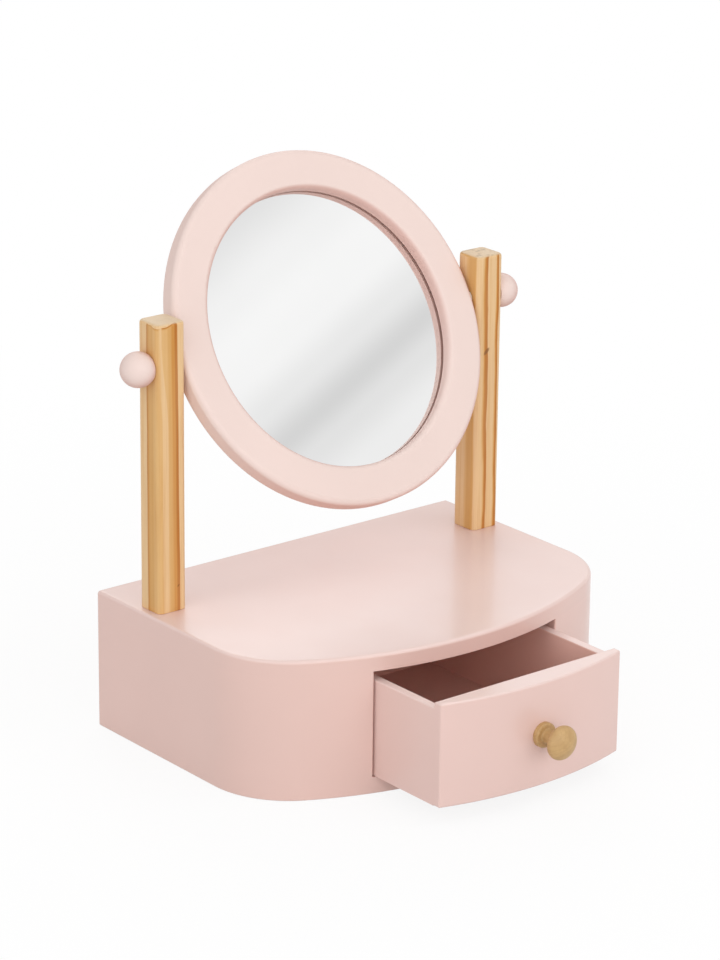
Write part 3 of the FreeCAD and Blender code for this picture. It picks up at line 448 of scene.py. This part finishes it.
def silvering(name):
    """A clear mirror, with a drift in its brightness that is hardly seen."""
    silver = Surface(name)
    cloud = silver.between(silver.noise(14, 3), 0, 1)
    silver.set(Base_Color=silver.mix(cloud, DULL_SILVER, BRIGHT_SILVER), Metallic=1.0, Roughness=0.0)
    return silver


PAINTED_NODES = [
    "bottom_panel", "left_wall", "right_wall", "back_panel", "left_drawer_guide", "right_drawer_guide",
]
DRAWER_NODES = ["drawer_front", "drawer_left_side", "drawer_right_side", "drawer_back"]


def dress_nodes(zinc):
    dress(painted("pink_paint", PINK), *PAINTED_NODES)
    # the drawer: painted light on its up-facing rims, painted reddish bounce light and shade on its inside
    # faces
    drawer_inside = (PAINTED_BOUNCE_INSIDE_PINK, DRAWER_MIDDLE, 40 * MM)
    dress(painted("drawer_paint_painted_light_and_shade", DRAWER_PINK, painted_light=PAINTED_LIGHT_TOP_PINK, inside=drawer_inside), *DRAWER_NODES)
    # the top panel: painted light on its up-facing surfaces
    dress(painted("top_paint_painted_light", PINK, coat=0.4, painted_light=PAINTED_LIGHT_TOP_PINK), "top_panel")
    # the ring and balls: painted light on faces towards the front-left, painted shade on the rest
    turned_look = dict(roughness=0.43, coat=0.0, specular=0.2, painted_light=PAINTED_LIGHT_SIDE_PINK, towards=LIT_SIDE)
    # painted shade in the ring's inner lip
    lip = (PAINTED_SHADE_LIP_PINK, LIP_SHADE_MIDDLE, 110 * MM)
    dress(painted("ring_paint_painted_light_and_shade", PAINTED_SHADE_PINK, inside=lip, **turned_look), "mirror_frame")
    dress(painted("ball_paint_painted_light_and_shade", PAINTED_SHADE_PINK, **turned_look), "left_ball_knob", "right_ball_knob")
    board = painted("painted_board", BOARD_PINK, roughness=0.48, peel=0.16, coat=0.0)
    dress(board, "backing_panel", "drawer_bottom")
    for side, look in POSTS.items():
        dress(pine(f"{side}_pine", f"{side}_post", *look), f"{side}_post")
    low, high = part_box("drawer_knob")
    dress(turned("knob_wood", (low.z + high.z) / 2, KNOB_LIGHT, KNOB_DARK), "drawer_knob")
    dress(plain_wood("dowel_beech", BEECH), "post_dowels", "wall_dowels")
    dress(zinc, "drawer_brads", "left_pivot_stud", "right_pivot_stud")
    dress(metal("brass", BRASS, 0.22, 0.36, 700), "left_pivot_insert", "right_pivot_insert")
    dress(plastic("natural_nylon", NYLON), "left_pivot_washer", "right_pivot_washer")


# Pieces built here

DISC_SEGMENTS, SCREW_SEGMENTS = 160, 32
DISC_CREASE, SCREW_CREASE = 20, 30  # in degrees: edges that turn by more stay sharp
DISC_EASE = 0.3 * MM


def new_piece(name, mesh, surface, body):
    piece = bpy.data.objects.new(name, mesh)
    bpy.context.scene.collection.objects.link(piece)
    piece.data.materials.append(surface.material)
    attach(piece, body)
    return piece


def turn(made, profile, origin, axis, segments):
    """Adds a turned skin: profile is (radius, height) pairs, with radius 0 on the axis.

    Gives its rings of vertices.
    """
    side = axis.orthogonal().normalized()
    across = axis.cross(side)
    rings = []
    for radius, height in profile:
        middle = origin + axis * height
        angles = [2 * math.pi * i / segments for i in range(segments if radius else 1)]
        rings.append([
            made.verts.new(middle + radius * (side * math.cos(a) + across * math.sin(a))) for a in angles])
    for first, second in zip(rings, rings[1:]):
        for i in range(segments):
            corners = [first[i % len(first)], first[(i + 1) % len(first)],
                       second[(i + 1) % len(second)], second[i % len(second)]]
            made.faces.new(list(dict.fromkeys(corners)))
    return rings


def to_mesh(made, name):
    bmesh.ops.recalc_face_normals(made, faces=made.faces)
    mesh = bpy.data.meshes.new(name)
    made.to_mesh(mesh)
    made.free()
    return mesh


def smooth(mesh, angle):
    """Smooth shading, apart from the edges that turn by more than this angle in degrees."""
    mesh.polygons.foreach_set("use_smooth", [True] * len(mesh.polygons))
    mesh.set_sharp_from_angle(angle=math.radians(angle))


def add_mirror():
    """A silvered disc with an eased edge, set back in the ring as it looks through its clear sheet."""
    low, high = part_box("mirror_plate")
    radius = (high.x - low.x) / 2
    depths = [(vertex.co - PIVOT).dot(GLASS_NORMAL) for vertex in nodes["mirror_plate"].data.vertices]
    rear, face = min(depths), max(depths) - SHEET_DEPTH
    edge = [(radius, rear), (radius, face - DISC_EASE), (radius - DISC_EASE, face)]
    made = bmesh.new()
    turn(made, [(0, rear), *edge, (0, face)], PIVOT, GLASS_NORMAL, DISC_SEGMENTS)
    mesh = to_mesh(made, "mirror_silvering")
    smooth(mesh, DISC_CREASE)
    piece = new_piece("mirror_silvering", mesh, silvering("silvering"), "mirror")
    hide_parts("mirror_plate")


# Screws: a cross recess as a share of the head's flat radius
CROSS_REACH, CROSS_HALF_WIDTH, CROSS_DEPTH, CROSS_TAPER = 0.58, 0.15, 0.5, 0.5


def solids(node):
    """The places of the vertices of each separate solid in a node."""
    made = bmesh.new()
    made.from_mesh(nodes[node].data)
    bmesh.ops.remove_doubles(made, verts=made.verts, dist=1e-6)
    seen, found = set(), []
    for start in made.verts:
        if start in seen:
            continue
        seen.add(start)
        reached = [start]
        for vertex in reached:
            for edge in vertex.link_edges:
                other = edge.other_vert(vertex)
                if other not in seen:
                    seen.add(other)
                    reached.append(other)
        found.append([vertex.co.copy() for vertex in reached])
    made.free()
    return found


def add_screw(made, places, out):
    """A screw with the solid's own profile and a tapered cross recess in the head, which faces out."""
    middle = sum(places, Vector()) / len(places)
    heights = [(place - middle).dot(out) for place in places]
    radii = [((place - middle) - out * height).length for place, height in zip(places, heights)]
    profile = sorted({(-round(height, 6), -round(radius, 6)) for radius, height in zip(radii, heights)})
    profile = [(-radius, -height) for height, radius in profile]
    rings = turn(made, profile + [(0, profile[-1][1])], middle, out, SCREW_SEGMENTS)
    flat, face = profile[0]
    side = out.orthogonal().normalized()
    across = out.cross(side)
    reach, half = flat * CROSS_REACH, flat * CROSS_HALF_WIDTH
    arm = [(reach, -half), (reach, half), (half, half)]
    outline = arm + [(-v, u) for u, v in arm] + [(-u, -v) for u, v in arm] + [(v, -u) for u, v in arm]

    def cross(share, height):
        return [made.verts.new(middle + out * height + (side * u + across * v) * share) for u, v in outline]

    upper, lower = cross(1.0, face), cross(CROSS_TAPER, face - flat * CROSS_DEPTH)
    following = list(range(1, len(outline))) + [0]
    for i, j in enumerate(following):
        made.faces.new([upper[i], upper[j], lower[j], lower[i]])
    made.faces.new(lower)
    rim = rings[0]
    edges = [made.edges.get((a, b)) for a, b in zip(rim, rim[1:] + rim[:1])]
    edges += [made.edges.get((upper[i], upper[j])) for i, j in enumerate(following)]
    bmesh.ops.triangle_fill(made, use_beauty=True, edges=edges, normal=out)


def add_screws(node, body, out, zinc):
    made = bmesh.new()
    for places in solids(node):
        add_screw(made, places, out)
    mesh = to_mesh(made, f"{node}_cross")
    smooth(mesh, SCREW_CREASE)
    piece = new_piece(f"{node}_cross", mesh, zinc, body)
    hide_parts(node)


bright_zinc = metal("zinc", ZINC, 0.24, 0.4, 900)
dress_nodes(bright_zinc)
add_mirror()
add_screws("bottom_screws", "base", Vector((0, 0, -1)), bright_zinc)
add_screws("post_screws", "base", Vector((0, 0, -1)), bright_zinc)
add_screws("backing_screws", "mirror", -GLASS_NORMAL, bright_zinc)
add_screws("drawer_knob_screw", "drawer", Vector((0, 1, 0)), bright_zinc)


# Stage, lights and camera

# The camera was matched to edges in the photograph
AZIMUTH, ELEVATION, ROLL = (math.radians(angle) for angle in (-39.00, 19.05, 0.635))
EYE = Vector((-1.22613, -1.50004, 0.81054))
LENS = 141.03

FLOOR_SIZE = 8.0
FLOOR_DROP = 0.1 * MM  # how far the floor lies under the box
FLOOR_ALBEDO = 0.65
SHADOW_SHARE = 0.13  # how much of the white floor near the object, as the camera sees it, is left to shadow
SHADOW_FADE = (0.2, 0.75)  # distances from the middle over which that share fades out
AMBIENT = 0.66

# name, azimuth and elevation in degrees, distance, width, height in metres, share of plain level
LAMPS = [
    ("key_lamp", 42, 52, 2.4, 1.2, 1.2, 0.09),
    ("left_lamp", -78, 27, 2.4, 1.6, 2.2, 0.16),
    ("front_lamp", -15, 17, 2.4, 3.8, 1.6, 0.40),
    ("back_lamp", 145, 35, 2.4, 1.6, 1.2, 0.17),
]
LAMP_TARGET = Vector((0, 0, 0.12))

# What the mirror sees: a pale sky with soft bands, measured along one axis
BAND_AXIS = (5.455, -4.093, -10.549)
BAND_OFFSET = -0.2527
BANDS = [
    (0.0, 0.80), (0.25, 0.955), (0.36, 0.985), (0.47, 0.975), (0.60, 0.87), (0.715, 0.715), (0.80, 0.82),
    (0.93, 0.92),
]
WAVE_LENGTH = 6.7  # wide soft bands beyond the ramp, in spans of the ramp
WAVE_SHARE = 0.12


def direction(azimuth, elevation):
    """The way from the object to a place at this azimuth, 0 in front and 90 to the right, and elevation."""
    level = math.cos(elevation)
    return Vector((math.sin(azimuth) * level, -math.cos(azimuth) * level, math.sin(elevation)))


def add_camera():
    back = direction(AZIMUTH, ELEVATION)
    level = Vector((math.cos(AZIMUTH), math.sin(AZIMUTH), 0))
    right = level * math.cos(ROLL) + back.cross(level) * math.sin(ROLL)
    turned_to = Matrix((right, back.cross(right), back)).transposed().to_4x4()
    data = bpy.data.cameras.new("camera")
    data.lens = LENS
    data.clip_start, data.clip_end = 0.05, 50
    camera = bpy.data.objects.new("camera", data)
    camera.matrix_world = Matrix.Translation(EYE) @ turned_to
    bpy.context.scene.collection.objects.link(camera)
    bpy.context.scene.camera = camera


def add_lamp(name, azimuth, elevation, distance, width, height, level):
    """A soft box that gives a surface facing it this share of the plain level."""
    data = bpy.data.lights.new(name, "AREA")
    data.shape = "RECTANGLE"
    data.size, data.size_y = width, height
    data.energy = level * (math.pi * distance) ** 2
    lamp = bpy.data.objects.new(name, data)
    way = direction(math.radians(azimuth), math.radians(elevation))
    lamp.location = LAMP_TARGET + way * distance
    lamp.rotation_euler = way.to_track_quat("Z", "Y").to_euler()
    lamp.visible_camera = False
    bpy.context.scene.collection.objects.link(lamp)


def by_mirror(tree, path):
    """1 for rays that come by way of metal or glass."""
    return calculate(tree, "MAXIMUM", path["Is Glossy Ray"], path["Is Transmission Ray"])


def add_floor():
    """A floor that shows white, apart from its share of shadow, and lights the object like a pale table."""
    half = FLOOR_SIZE / 2
    corners = ((-half, -half), (half, -half), (half, half), (-half, half))
    made = bmesh.new()
    made.faces.new([made.verts.new((x, y, -FLOOR_DROP)) for x, y in corners])
    floor = bpy.data.objects.new("floor", to_mesh(made, "floor"))
    bpy.context.scene.collection.objects.link(floor)
    material = bpy.data.materials.new("floor")
    material.use_nodes = True
    tree = material.node_tree
    tree.nodes.clear()
    path = add_node(tree, "LightPath").outputs
    seen = calculate(tree, "MAXIMUM", path["Is Camera Ray"], by_mirror(tree, path))
    place = add_node(tree, "TexCoord").outputs["Object"]
    away = add_node(tree, "VectorMath", {"operation": "LENGTH"}, {0: place}).outputs["Value"]
    share = add_node(tree, "MapRange", {"interpolation_type": "SMOOTHSTEP"}, {
        "Value": away, "From Min": SHADOW_FADE[0], "From Max": SHADOW_FADE[1],
        "To Min": SHADOW_SHARE, "To Max": 0.0,
    }).outputs["Result"]
    left = calculate(tree, "SUBTRACT", share, FLOOR_ALBEDO)
    albedo = calculate(tree, "MULTIPLY_ADD", seen, left, FLOOR_ALBEDO)
    diffuse = add_node(tree, "BsdfDiffuse", inputs={"Color": albedo})
    white = calculate(tree, "MULTIPLY", seen, calculate(tree, "SUBTRACT", 1.0, share))
    glow = add_node(tree, "Emission", inputs={"Strength": white})
    both = add_node(tree, "AddShader", inputs={0: diffuse.outputs[0], 1: glow.outputs[0]})
    clear = add_node(tree, "BsdfTransparent")
    below = add_node(tree, "NewGeometry").outputs["Backfacing"]
    shown = add_node(tree, "MixShader", inputs={0: below, 1: both.outputs[0], 2: clear.outputs[0]})
    output = add_node(tree, "OutputMaterial")
    tree.links.new(shown.outputs[0], output.inputs["Surface"])
    floor.data.materials.append(material)


def add_world():
    """White to the camera, even light on the object, and the banded sky in the mirror."""
    world = bpy.data.worlds.new("studio")
    bpy.context.scene.world = world
    world.use_nodes = True
    tree = world.node_tree
    tree.nodes.clear()
    path = add_node(tree, "LightPath").outputs
    ray = add_node(tree, "TexCoord").outputs["Generated"]
    along = add_node(tree, "VectorMath", {"operation": "DOT_PRODUCT"}, {0: ray, 1: BAND_AXIS})
    place = calculate(tree, "ADD", along.outputs["Value"], BAND_OFFSET)
    from_crest = calculate(tree, "SUBTRACT", place, 0.5)
    phase = calculate(tree, "MULTIPLY", from_crest, 2 * math.pi / WAVE_LENGTH)
    wave = calculate(tree, "MULTIPLY_ADD", calculate(tree, "COSINE", phase), WAVE_SHARE, 1 - WAVE_SHARE)
    sky = calculate(tree, "MULTIPLY", add_ramp(tree, place, BANDS, "EASE"), wave)
    ambient = add_node(tree, "Background", inputs={"Color": (1, 1, 1), "Strength": AMBIENT})
    reflected = add_node(tree, "Background", inputs={"Color": sky, "Strength": 1.0})
    white = add_node(tree, "Background", inputs={"Color": (1, 1, 1), "Strength": 1.0})
    lit = add_node(tree, "MixShader", inputs={
        0: by_mirror(tree, path), 1: ambient.outputs[0], 2: reflected.outputs[0]})
    shown = add_node(tree, "MixShader", inputs={
        0: path["Is Camera Ray"], 1: lit.outputs[0], 2: white.outputs[0]})
    output = add_node(tree, "OutputWorld")
    tree.links.new(shown.outputs[0], output.inputs["Surface"])


add_camera()
for lamp in LAMPS:
    add_lamp(*lamp)
add_floor()
add_world()
bpy.context.scene.view_settings.view_transform = "Standard"
